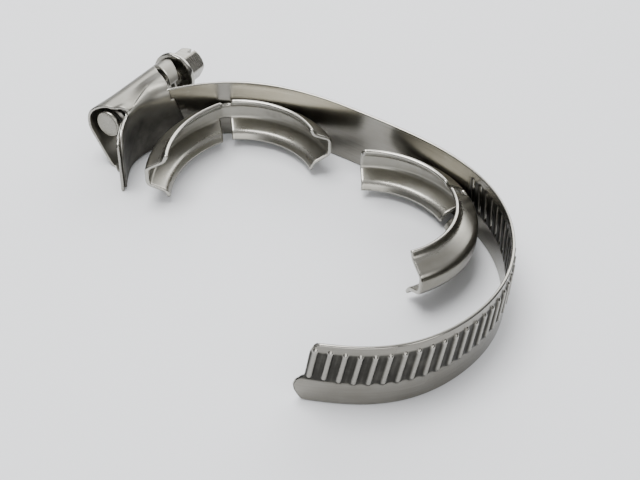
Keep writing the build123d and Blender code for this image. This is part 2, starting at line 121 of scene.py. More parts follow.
def sheet(bag, P, N, t, flow, mask=None, r=None, wear=None, tags=None, flow_in=None, wear_in=None):
    """Closed sheet from mid-surface points P (ni, nj, 3), normals N, thickness t (scalar or array), with rounded rims."""
    ni, nj = P.shape[:2]
    if mask is None:
        mask = np.ones((ni - 1, nj - 1), bool)
    t = np.broadcast_to(np.asarray(t, float), (ni, nj))
    if wear is None:
        wear = np.zeros((ni, nj))
    r_ = np.broadcast_to(np.asarray(0.42 * t if r is None else r, float), (ni, nj))
    used = np.zeros((ni, nj), bool)
    used[:-1, :-1] |= mask; used[1:, :-1] |= mask; used[1:, 1:] |= mask; used[:-1, 1:] |= mask
    # boundary edges: (a, b, cell)
    edges = []
    pad = np.zeros((ni + 1, nj + 1), bool)
    pad[1:-1, 1:-1] = mask
    for i in range(ni):                       # edges along j at station i
        left, right = pad[i, 1:-1], pad[i + 1, 1:-1]
        for j in np.nonzero(left != right)[0]:
            ci = i - 1 if left[j] else i
            edges.append(((i, j), (i, j + 1), (ci, j)))
    for j in range(nj):                       # edges along i at row j
        low, high = pad[1:-1, j], pad[1:-1, j + 1]
        for i in np.nonzero(low != high)[0]:
            cj = j - 1 if low[i] else j
            edges.append(((i, j), (i + 1, j), (i, cj)))
    outdirs = {}
    for a, b, c in edges:
        pa, pb = P[a], P[b]
        cen = (P[c[0], c[1]] + P[c[0] + 1, c[1]] + P[c[0] + 1, c[1] + 1] + P[c[0], c[1] + 1]) / 4
        e = pb - pa
        L = np.linalg.norm(e)
        if L < 1e-9:
            continue
        e = e / L
        o = (pa + pb) / 2 - cen
        o = o - e * (o @ e)
        for q in (a, b):
            n = N[q]
            oo = o - n * (o @ n)
            ln = np.linalg.norm(oo)
            if ln > 1e-9:
                outdirs.setdefault(q, []).append(oo / ln)
    inset = np.zeros((ni, nj, 3))
    for q, lst in outdirs.items():
        b1 = lst[0]
        b2 = lst[-1] if len(lst) > 1 else lst[0]
        inset[q] = (b1 + b2) / max(0.35, 1 + b1 @ b2)
    off = inset * r_[..., None]
    outer = P + N * (t / 2)[..., None] - off
    inner = P - N * (t / 2)[..., None] - off
    idx_o = -np.ones((ni, nj), int)
    idx_i = -np.ones((ni, nj), int)
    ii, jj = np.nonzero(used)
    bound = np.zeros((ni, nj), bool)
    for q in outdirs:
        bound[q] = True
    w_all = np.where(bound, np.maximum(wear, 0.55), wear)
    k = bag.add(outer[ii, jj], flow[ii, jj], w_all[ii, jj])
    idx_o[ii, jj] = k + np.arange(len(ii))
    flow_in = flow if flow_in is None else flow_in
    w_in = w_all if wear_in is None else np.where(bound, np.maximum(wear_in, 0.55), wear_in)
    k = bag.add(inner[ii, jj], flow_in[ii, jj], w_in[ii, jj])
    idx_i[ii, jj] = k + np.arange(len(ii))
    ci, cj = np.nonzero(mask)
    c0, c1 = ci[len(ci) // 2], cj[len(cj) // 2]
    sgn = 0.0
    for a_, b_ in zip(ci[:: max(1, len(ci) // 40)], cj[:: max(1, len(ci) // 40)]):
        di = P[a_ + 1, b_] - P[a_, b_]
        dj = P[a_, b_ + 1] - P[a_, b_]
        sgn += np.sign(np.cross(di, dj) @ N[a_, b_])
    q_o = np.stack([idx_o[ci, cj], idx_o[ci + 1, cj], idx_o[ci + 1, cj + 1], idx_o[ci, cj + 1]], 1)
    q_i = np.stack([idx_i[ci, cj], idx_i[ci, cj + 1], idx_i[ci + 1, cj + 1], idx_i[ci + 1, cj]], 1)
    if sgn < 0:
        q_o, q_i = q_o[:, ::-1], q_i[:, ::-1]
    bag.f.append(q_o); bag.f.append(q_i)
    tag = ci if tags is None else tags[ci, cj]
    bag.tag.append(np.asarray(tag)); bag.tag.append(np.asarray(tag))
    # rims
    bl = sorted(outdirs)
    pos = {q: n for n, q in enumerate(bl)}
    bi = np.array([q[0] for q in bl]); bj = np.array([q[1] for q in bl])
    Pb, Nb, tb, rb, db = P[bi, bj], N[bi, bj], t[bi, bj][:, None], r_[bi, bj][:, None], inset[bi, bj]
    A = Pb + Nb * (tb / 2 - 0.293 * rb) - db * rb * 0.293
    M = Pb
    B = Pb - Nb * (tb / 2 - 0.293 * rb) - db * rb * 0.293
    ks = [bag.add(X, flow[bi, bj], 1.0) for X in (A, M, B)]
    quads, tg = [], []
    for a, b, c in edges:
        if a not in pos or b not in pos:
            continue
        na, nb = pos[a], pos[b]
        ra = [idx_o[a], ks[0] + na, ks[1] + na, ks[2] + na, idx_i[a]]
        rb_ = [idx_o[b], ks[0] + nb, ks[1] + nb, ks[2] + nb, idx_i[b]]
        out = (inset[a] + inset[b])
        e = P[b] - P[a]
        s_ = np.cross(e, -(N[a] + N[b])) @ out
        tv = c[0] if tags is None else tags[c]
        for m in range(4):
            qd = [ra[m], rb_[m], rb_[m + 1], ra[m + 1]]
            if s_ < 0:
                qd = qd[::-1]
            quads.append(qd); tg.append(tv)
    bag.f.append(np.array(quads)); bag.tag.append(np.array(tg))


def finish_bag(bag):
    V = np.concatenate(bag.v); F = np.concatenate(bag.f)
    flow = np.concatenate(bag.flow); wear = np.concatenate(bag.wear); tag = np.concatenate(bag.tag)
    V = V.copy()
    V[:, 0] += SHX
    V[:, 1] += SHY
    V /= 1000.0
    return V, F, flow, wear, tag


def area_normals(V, F):
    a, b, c, d = (V[F[:, k]] for k in range(4))
    n = np.cross(c - a, d - b)                # area weighted
    out = np.zeros_like(V)
    for k in range(4):
        np.add.at(out, F[:, k], n)
    ln = np.linalg.norm(out, axis=1)
    ln[ln < 1e-20] = 1
    return out / ln[:, None]


def make_mesh(name, V, F, flow, wear, normals=None, pick=None):
    if pick is not None:
        F = F[pick]
    ids, inv = np.unique(F.ravel(), return_inverse=True)
    v2, f2 = V[ids], inv.reshape(F.shape)
    me = bpy.data.meshes.new(name)
    me.from_pydata(v2.tolist(), [], f2.tolist())
    at = me.attributes.new("flow", "FLOAT_VECTOR", "POINT")
    at.data.foreach_set("vector", flow[ids].astype(np.float32).ravel())
    # per-vertex lightening: wear on the rims, and painted highlights on the band's ribs
    at = me.attributes.new("wear", "FLOAT", "POINT")
    at.data.foreach_set("value", wear[ids].astype(np.float32))
    me.polygons.foreach_set("use_smooth", [True] * len(me.polygons))
    if normals is not None:
        me.normals_split_custom_set_from_vertices(normals[ids].tolist())
    me.update()
    ob = bpy.data.objects.new(name, me)
    bpy.context.scene.collection.objects.link(ob)
    return ob


# ------------------------------------------------------------------ band strip
def ring_s_of_y(y):
    """s (negative) where the ring's band line has plan y (band widths), on the housing side."""
    lo, hi = -1.75, 0.0
    for _ in range(60):
        mid = (lo + hi) / 2
        if band_at(mid)[1] < y:
            lo = mid
        else:
            hi = mid
    return (lo + hi) / 2


def s_of_x_tail(x):
    lo, hi = 10.4, 11.4
    for _ in range(60):
        mid = (lo + hi) / 2
        if band_at(mid)[0] > x:
            lo = mid
        else:
            hi = mid
    return (lo + hi) / 2


def tongue_start(z, y_end, rad, top):
    """start s of the tongue at height z (band widths): vertical end with a rounded upper corner."""
    a = np.clip(1 - (z - (top - rad)) / rad, 0, 1) if z > top - rad else 1.0
    ca = 1 - (top - z) / rad if z > top - rad else 0.0
    al = math.acos(max(-1, min(1, ca)))
    y = y_end + rad * 1.4 * (1 - math.sin(al))
    return ring_s_of_y(y)


xt = -0.020
TAIL_PROFILE = [(0.0, -0.100), (0.02, -0.160), (0.08, -0.205), (0.16, -0.247), (0.25, -0.262), (0.33, -0.235),
                (0.40, -0.165), (0.415, -0.135), (0.46, -0.118), (0.60, -0.099), (0.75, -0.080), (0.85, -0.066), (1 - 1.2 / W, xt - 0.33 / W),
                (1 - 0.70 / W, xt - 0.08 / W), (1 - 0.37 / W, xt + 0.25 / W), (1 - 0.12 / W, xt + 0.66 / W), (1.0, xt + 1.1 / W)]
_tz = np.array([p[0] for p in TAIL_PROFILE]); _tx = np.array([p[1] for p in TAIL_PROFILE])

NZ = 62
zr = np.linspace(0, 1, NZ)
S_RIBBED = 5.30
st = list(np.linspace(-1.45, 0.0, 30)) + list(np.arange(0.05, 4.80, 0.05)) + list(np.linspace(4.80, S_RIBBED, 12))
fine = RIB_PITCH / W / 18
k_ = RIB_FIRST - fine * int((RIB_FIRST - S_RIBBED) / fine)
st += list(np.arange(k_, 10.75, fine))
st = np.array(sorted(set(round(float(v), 6) for v in st)))
SEAMS = [1.60, 2.75, 3.65, 4.795, 6.025, 7.095, 8.165, 9.235, 10.30]
# seams in the ribbed part fall on valleys between ribs
rib_c = RIB_FIRST + np.arange(RIB_COUNT) * RIB_PITCH / W
seams = []
for s in SEAMS:
    if s > 5.5:
        val = rib_c[:-1] + RIB_PITCH / W / 2
        s = float(val[np.argmin(abs(val - s))])
    seams.append(float(st[np.argmin(abs(st - s))]))
NT = 26                                   # stations added for each shaped end
n_head = 20
base = st
ni = n_head + len(base) + NT
S = np.zeros((ni, NZ))
slant_amt = math.tan(RIB_SLANT)
for j, z in enumerate(zr):
    sl = -(z * W - RIB_MID_Z) * slant_amt / W * smooth(4.9, 5.5, base)
    row = base + sl
    s0 = tongue_start(z, 0.975, 0.10, 1.0)
    a = s0 + (row[0] - s0) * np.linspace(0, 1, n_head + 1)[:-1]
    x_end = np.interp(z, _tz, _tx)
    s1 = s_of_x_tail(x_end)
    b = row[-1] + (s1 - row[-1]) * np.linspace(0, 1, NT + 1)[1:]
    S[:, j] = np.concatenate([a, row, b])

cache = {}


def bp(s):
    k = round(float(s), 7)
    if k not in cache:
        cache[k] = band_at(k)
    return cache[k]


Px = np.zeros((ni, NZ)); Py = np.zeros((ni, NZ)); Hh = np.zeros((ni, NZ))
for i in range(ni):
    same = np.ptp(S[i]) < 1e-9
    for j in range(NZ):
        q = bp(S[i, 0] if same else S[i, j])
        Px[i, j], Py[i, j], Hh[i, j] = q
Z = zr[None, :] * W * (1 - 0.075 * (1 - smooth(-0.16, -0.05, S)) - 0.045 * (1 - smooth(-0.85, -0.45, S)))
Nrm = np.stack([-np.sin(Hh), np.cos(Hh), np.zeros_like(Hh)], -1)
P = np.stack([Px * W, Py * W, Z], -1)


def rib_height(s_mm, z_mm, half_w, half_l):
    """0..1 height field of the pressed threads at (s, z) in mm; also a painted-shade ring round each rib and a painted
    highlight on each rib's top end.
    """
    h = np.zeros_like(s_mm)
    edge_shade = np.zeros_like(s_mm)
    tip_highlight = np.zeros_like(s_mm)
    ax = np.array([-math.sin(RIB_SLANT), math.cos(RIB_SLANT)])
    for c in rib_c:
        lift = 0.052 * W * smooth(10.3, 10.92, c)
        ds, dz = s_mm - c * W, z_mm - RIB_MID_Z - lift
        near = abs(ds) < 4
        if not near.any():
            continue
        along = np.clip(ds * ax[0] + dz * ax[1], -half_l, half_l)
        d = np.hypot(ds - along * ax[0], dz - along * ax[1])
        prof = (1 - smooth(0.30, half_w + 0.02, d)) * (1 - 0.06 * np.clip(d / 0.5, 0, 1) ** 2)
        h = np.maximum(h, np.where(near, prof, 0))
        top_end = smooth(half_l - 0.55, half_l + 0.05, ds * ax[0] + dz * ax[1])
        # painted shade: a dark ring round each rib, left off the rib's top end
        edge_shade = np.maximum(edge_shade, np.where(near, np.exp(-((d - half_w) / 0.26) ** 2) * (1 - top_end), 0))
        # painted highlight: each rib's rounded top end is coloured lighter
        tip_highlight = np.maximum(tip_highlight, np.where(near & (d < half_w + 0.1), top_end * prof, 0))
    return h, edge_shade, tip_highlight


Smm = S * W
ribs, rib_edge_shade, rib_tip_highlight = rib_height(Smm, Z, 0.76, 4.15 - 0.76)
P = P + Nrm * (ribs * 0.50)[..., None]
# spot-weld button beside the housing's end, pushed to the inner side
P = P - Nrm * (0.34 * np.exp(-(((Smm - 0.165 * W) / 0.62) ** 2 + ((Z - 0.60 * W) / 0.85) ** 2) ** 1.5))[..., None]
# material coordinates along the strip: s and z in mm
flowB = np.stack([Smm, Z, np.zeros_like(Z)], -1)
# painted highlight: the rib crests and rib top ends are coloured lighter
wearB = np.clip(0.65 * smooth(0.45, 0.95, ribs) + 1.0 * smooth(0.15, 0.5, rib_tip_highlight), 0, 1)
# painted shade: dark rings round the ribs and dark gaps between them, carried in the flow attribute's third channel
rib_painted_shade = np.clip(0.95 * rib_edge_shade + 0.92 * smooth(5.40, 5.52, S) * (1 - smooth(3.6, 4.2, abs(Z - RIB_MID_Z))) * (1 - ribs), 0, 1)
flowB[..., 2] = rib_painted_shade
flowI = flowB.copy()
# painted shade on the inner face: the rib zone is darkened except along the ribs
in_zone = smooth(5.40, 5.52, S) * (1 - smooth(3.7, 4.3, abs(Z - RIB_MID_Z)))
flowI[..., 2] = np.clip(in_zone * (1.0 - 1.3 * smooth(0.20, 0.60, ribs)), 0, 1)
# painted highlight: the ribs on the inner face are coloured lighter
wearI = 1.0 * smooth(0.35, 0.8, ribs)
bagB = Bag()
tags = np.repeat(np.arange(ni - 1)[:, None], NZ - 1, 1)
sheet(bagB, P, Nrm, T_BAND, flowB, r=0.31, wear=wearB, tags=tags, flow_in=flowI, wear_in=wearI)
VB, FB, flB, wrB, tgB = finish_bag(bagB)
NB = area_normals(VB, FB)
cut = [0] + [n_head + int(np.argmin(abs(base - s))) for s in seams] + [ni]
hinges = [2.30, 3.20, 4.10, 5.49, 6.56, 7.63, 8.70, 9.77]
names = ["band_root"] + ["band_bend_%d" % n for n in range(1, 9)] + ["band_tip"]
band_pieces = []
for n, nm in enumerate(names):
    pick = (tgB >= cut[n]) & (tgB < cut[n + 1])
    ob = make_mesh(nm, VB, FB, flB, wrB, NB, pick)
    band_pieces.append(ob)

# ------------------------------------------------------------------ retainers
RET_MID_Z = 0.498 * W
KNEE = (0.285 * W, 0.283 * W)
RW, RD, RH = 0.151 * W, 0.352 * W, 0.399 * W


def round_polyline(pts, radii, step=0.22):
    """Polyline with rounded corners sampled finely; returns points."""
    pts = [np.array(p, float) for p in pts]
    out = []
    prev_end = pts[0]
    for k in range(1, len(pts) - 1):
        a, b, c = pts[k - 1], pts[k], pts[k + 1]
        u, v = (a - b) / np.linalg.norm(a - b), (c - b) / np.linalg.norm(c - b)
        ang = math.acos(max(-1, min(1, u @ v)))
        r = radii[k - 1]
        d = r / math.tan(ang / 2)
        p1, p2 = b + u * d, b + v * d
        m = max(1, int(np.linalg.norm(p1 - prev_end) / step))
        for q in range(m):
            out.append(prev_end + (p1 - prev_end) * q / m)
        bis = (u + v) / np.linalg.norm(u + v)
        cen = b + bis * (r / math.sin(ang / 2))
        a0 = math.atan2(*(p1 - cen)[::-1]); a1 = math.atan2(*(p2 - cen)[::-1])
        da = (a1 - a0 + math.pi) % (2 * math.pi) - math.pi
        m = max(4, int(abs(da) * r / 0.16))
        for q in range(m):
            t_ = a0 + da * q / m
            out.append(cen + r * np.array([math.cos(t_), math.sin(t_)]))
        prev_end = p2
    m = max(1, int(np.linalg.norm(pts[-1] - prev_end) / step))
    for q in range(m + 1):
        out.append(prev_end + (pts[-1] - prev_end) * q / m)
    return np.array(out)


def line_normals(p):
    t_ = np.gradient(p, axis=0)
    t_ /= np.linalg.norm(t_, axis=1)[:, None]
    return np.stack([-t_[:, 1], t_[:, 0]], 1)


# outer-face section: (depth inwards, height), bottom lip to top lip; mid line is half a sheet inside
h_ = T_RET / 2
fl = math.atan2(KNEE[1] - RW, KNEE[0])
sec = round_polyline([(RD - 0.10, -(RH - 0.40)), (KNEE[0] + 0.12, -(KNEE[1] - 0.30)), (h_ + 0.02, -(RW - 0.22)),
                      (h_ + 0.02, RW - 0.22), (KNEE[0] + 0.12, KNEE[1] - 0.30), (RD - 0.10, RH - 0.40)],
                     [2.2, 1.6, 1.6, 2.2], 0.40)
# lips run on past the knee to the seat edge
sec_n = line_normals(sec)
if sec_n[len(sec) // 2] @ np.array([-1, 0]) < 0:
    sec_n = -sec_n
sec_len = np.concatenate([[0], np.cumsum(np.linalg.norm(np.diff(sec, axis=0), axis=1))])


def channel(bag, stations, slits, cutback=0.0, marks=()):
    """Sweep the section along stations [(x, y, h, s_mm)] (x, y in band widths, the outer face's line).
    slits: list of (i0, i1) station ranges where only the web is kept."""
    ni_, nj_ = len(stations), len(sec)
    P_ = np.zeros((ni_, nj_, 3)); N_ = np.zeros((ni_, nj_, 3)); F_ = np.zeros((ni_, nj_, 3))
    for i, (x, y, h, s) in enumerate(stations):
        ix, iy = math.sin(h), -math.cos(h)
        k = 1.0
        d = sec[:, 0]
        z = sec[:, 1]
        P_[i, :, 0] = x * W + ix * d
        P_[i, :, 1] = y * W + iy * d
        P_[i, :, 2] = RET_MID_Z + z
        N_[i, :, 0] = ix * sec_n[:, 0]
        N_[i, :, 1] = iy * sec_n[:, 0]
        N_[i, :, 2] = sec_n[:, 1]
        F_[i, :, 0] = s
        F_[i, :, 1] = sec_len
        for sm, zm, rm in marks:
            F_[i, :, 2] += 0.55 * np.exp(-(((s - sm) / rm) ** 2 + ((sec[:, 1] - zm) / (rm * 1.2)) ** 2) ** 1.5) * (sec[:, 0] < 1.2)
    if cutback:
        i0, m_ = slits[0][0], 12
        P0, N0, F0 = P_.copy(), N_.copy(), F_.copy()
        for j in range(nj_):
            kj = cutback * max(0.0, (sec[j, 0] - h_) / RD) ** 1.4
            for i in range(i0 - m_, i0 + 1):
                u_ = i0 - m_ + (i - i0 + m_) * (m_ - kj) / m_
                q_ = min(int(u_), ni_ - 2)
                g_ = u_ - q_
                for A_, B_ in ((P_, P0), (N_, N0), (F_, F0)):
                    A_[i, j] = B_[q_, j] * (1 - g_) + B_[q_ + 1, j] * g_
    mask = np.ones((ni_ - 1, nj_ - 1), bool)
    webrow = abs((sec[:-1, 1] + sec[1:, 1]) / 2) < RW - 0.30
    for a, b in slits:
        for j in range(nj_ - 1):
            if not webrow[j]:
                mask[a:b, j] = False
    knee = np.exp(-((abs(sec[:, 1]) - (KNEE[1] - 0.3)) / 0.55) ** 2) * 0.45
    wear = np.broadcast_to(knee[None, :], (ni_, nj_))
    sheet(bag, P_, N_, T_RET, F_, mask=mask, r=0.30, wear=wear)


def inner_face(s):
    x, y, h = band_at(s)
    return x + T_BAND / 2 / W * math.sin(h), y - T_BAND / 2 / W * math.cos(h), h


def walk(p, parts, step=0.055):
    """parts: [(curvature, length, fixed count or None)] -> stations and the index ranges of each part."""
    out = [(p[0], p[1], p[2], 0.0)]
    rng = []
    s = 0.0
    x, y, h = p
    for k, ln, cnt in parts:
        m = cnt or max(2, int(round(ln / step)))
        i0 = len(out) - 1
        for q in range(1, m + 1):
            a = advance(x, y, h, k, ln * q / m)
            out.append((a[0], a[1], a[2], (s + ln * q / m) * W))
        x, y, h = advance(x, y, h, k, ln)
        s += ln
        rng.append((i0, len(out) - 1))
    return out, rng


def smooth_ends(stn):
    return stn


p = inner_face(1.3794)
a = advance(*p, -1 / 1.5369, -0.406)
b = advance(*a, -0.4312 / 0.20, -0.20)
c = advance(*b, -1 / 2.1022, -2.2215)
stL, rgL = walk(c, [(-1 / 2.1022, 2.2215, None), (-0.4312 / 0.20, 0.20, 6), (-1 / 1.5369, 0.406 + 1.7232, None)])
bagL = Bag()
channel(bagL, stL, [rgL[1]], cutback=3.0, marks=[(48.7, 0.1, 0.7), (50.5, -0.2, 0.8), (52.3, 0.1, 0.6)])
V, F, fl_, wr_, tg_ = finish_bag(bagL)
ret_left = make_mesh("retainer_left_shell", V, F, fl_, wr_, area_normals(V, F))

p = inner_face(4.9252)
q = advance(*p, -1 / 1.55, -1.3952)
RC = (p[0] + 1.55 * math.sin(p[2]), p[1] - 1.55 * math.cos(p[2]))
total = 1.3952 + 2.9215
# slit centre: plan angle 21.2 deg about the centre
ang_q = math.degrees(math.atan2(q[1] - RC[1], q[0] - RC[0]))
s_slit = math.radians(ang_q - 21.2) * 1.55
sw = 0.17
stR, rgR = walk(q, [(-1 / 1.55, s_slit - sw / 2, None), (-1 / 1.55, sw, 5), (-1 / 1.55, total - s_slit - sw / 2, None)])
bagR = Bag()
channel(bagR, stR, [rgR[1]], marks=[(16.8, 0.7, 0.75), (20.5, 0.6, 0.65)])
V, F, fl_, wr_, tg_ = finish_bag(bagR)
ret_right = make_mesh("retainer_right_shell", V, F, fl_, wr_, area_normals(V, F))

# ------------------------------------------------------------------ screw frame
UX, UY = math.cos(SCREW_HEADING), math.sin(SCREW_HEADING)
VX, VY = -math.sin(SCREW_HEADING), math.cos(SCREW_HEADING)


def world_uv(u, v, z):
    return np.array([(SCREW_TIP[0] + u * UX + v * VX) * W, (SCREW_TIP[1] + u * UY + v * VY) * W, z * W])


def to_uv(x, y):
    dx, dy = x - SCREW_TIP[0], y - SCREW_TIP[1]
    return dx * UX + dy * UY, dx * VX + dy * VY


# ------------------------------------------------------------------ housing
TH = T_HSG / W
R_P = R_SADDLE - T_BAND / 2 / W - TH / 2           # plate mid radius
RB0, RB1 = 0.050, 0.22                             # bend radius roof to plate (mid), mouth and seam end
ZM = Z_ROOF - TH / 2                               # roof mid height
RM = 0.325 - TH / 2                                # hump mid radius


def plate_pt(s, rad_off):
    """Plan point on the plate line at s, moved rad_off outwards (towards the band) from the plate's mid line."""
    x, y, h = band_at(s)
    d = -(T_BAND / 2 / W + TH / 2) + rad_off
    return x - d * math.sin(h), y + d * math.cos(h), h


DROP = 0.115                                       # the roof's corner is pressed down at the mouth


def zm_at(f):
    return ZM - DROP * (1 - float(smooth(0.0, 0.95, max(f, 0.0))))


def roof_k(f):
    """how far the roof's start is drawn towards the screw behind the mouth"""
    return 1.0 - 0.30 * float(smooth(0.0, 0.80, f))


def rb_at(f):
    """bend radius that fits between the roof's start and the plate"""
    x, y, h = plate_pt(s_m + (S_END - s_m) * min(1.0, max(0.0, f)), 0.0)
    u, v = to_uv(x, y)
    nv = -math.sin(h) * VX + math.cos(h) * VY
    cap = RB0 + (RB1 - RB0) * float(smooth(0.0, 0.85, max(f, 0.0)))
    return min(cap, max(RB0, (-0.345 * roof_k(f) - v) / max(nv, 0.3)))


# section of floor, wall, hump and roof edge in (v, z), mid line
phi_d = math.hypot(0.13 - 0.02, SCREW_Z)
vb, zb = -0.13 + TH * 0.6, 0.012
dd = math.hypot(vb, SCREW_Z - zb)
phi = math.atan2(SCREW_Z - zb, -vb) - math.asin(RM / dd)
ln_ = math.sqrt(dd * dd - RM * RM)
tx, tz = vb + ln_ * math.cos(phi), zb + ln_ * math.sin(phi)
a_t = math.atan2(tz - SCREW_Z, tx)
wall = [np.array([vb + (tx - vb) * f, zb + (tz - zb) * f]) for f in np.linspace(0, 1, 15)[1:-1]]
arc = [np.array([RM * math.cos(t_), SCREW_Z + RM * math.sin(t_)]) for t_ in np.linspace(a_t, math.radians(90), 34)]
n_floor = 8
top_pts = [(-0.03, 0.9545), (-0.06, 0.9525), (-0.09, 0.9520), (-0.12, 0.9560), (-0.15, 0.9650), (-0.18, 0.9760), (-0.21, 0.9830),
           (-0.24, 0.9850), (-0.27, 0.9810), (-0.30, 0.9740), (-0.335, 0.9640)]
SHIFT_TOP = RM + SCREW_Z - 0.9564
top = [np.array([v, z + SHIFT_TOP * (1 if v > -0.1 else max(0, 1 - (abs(v) - 0.1) / 0.1))]) for v, z in top_pts]
corner = [np.array([vb - 0.030, zb]), np.array([vb - 0.012, zb + 0.004]), np.array([vb + 0.006, zb + 0.022])]
curve_a = corner + wall + arc + top                # from floor corner to the roof's start
j_floor = n_floor
nA = len(curve_a)
n_roof, n_bend, n_plate = 8, 9, 26
nj = n_floor + nA + n_roof + n_bend + n_plate
j_top = n_floor + 3 + len(wall) + len(arc) - 1     # hump top
j_roof = n_floor + nA
j_bend = j_roof + n_roof
j_plate = j_bend + n_bend

# mouth plane
m1, m2, m3 = np.array((0.02, -0.32, 1.04)), np.array((-0.12, 0.22, 0.88)), np.array((-0.20, -0.13, 0.0))
mn = np.cross(m2 - m1, m3 - m1)


def mouth_u(v, z):
    return m1[0] - (mn[1] * (v - m1[1]) + mn[2] * (z - m1[2])) / mn[0]


def line_u(p1, p2, v):
    v = min(max(v, min(p1[1], p2[1])), max(p1[1], p2[1]))
    return p1[0] + (p2[0] - p1[0]) * (v - p1[1]) / (p2[1] - p1[1])


L1 = ((1.43, 0.20), (0.84, -0.515))
L2 = ((1.40, 0.155), (1.23, -0.25))
# where the mouth meets the ring
s_m = -0.9
for _ in range(40):
    x, y, h = plate_pt(s_m, RB0)
    u, v = to_uv(x, y)
    s_m += (mouth_u(v, ZM - DROP) + 0.005 - u) * 0.6
N1, N2, N3 = 34, 6, 12                              # sleeve, window, strap
NTG, NPS = 22, 9                                   # tongue, past the seam
S_END = -0.02
# station order: tongue (0..NTG), sleeve (NTG..NTG+N1), then window, strap / past the seam
n_st = NTG + N1 + max(N2 + N3, NPS) + 1
PH = np.zeros((n_st, nj, 3)); FH = np.zeros((n_st, nj, 3)); NHh = np.zeros((n_st, nj, 3))
tH = np.full((n_st, nj), T_HSG)
mask = np.zeros((n_st - 1, nj - 1), bool)


def strap_pt(k, u):
    """continuation of the hump over the top and down the inner side, k = row index past the top"""
    a_ = math.radians(90) + k * math.radians(7.2)
    return RM * math.cos(a_), SCREW_Z + RM * math.sin(a_)


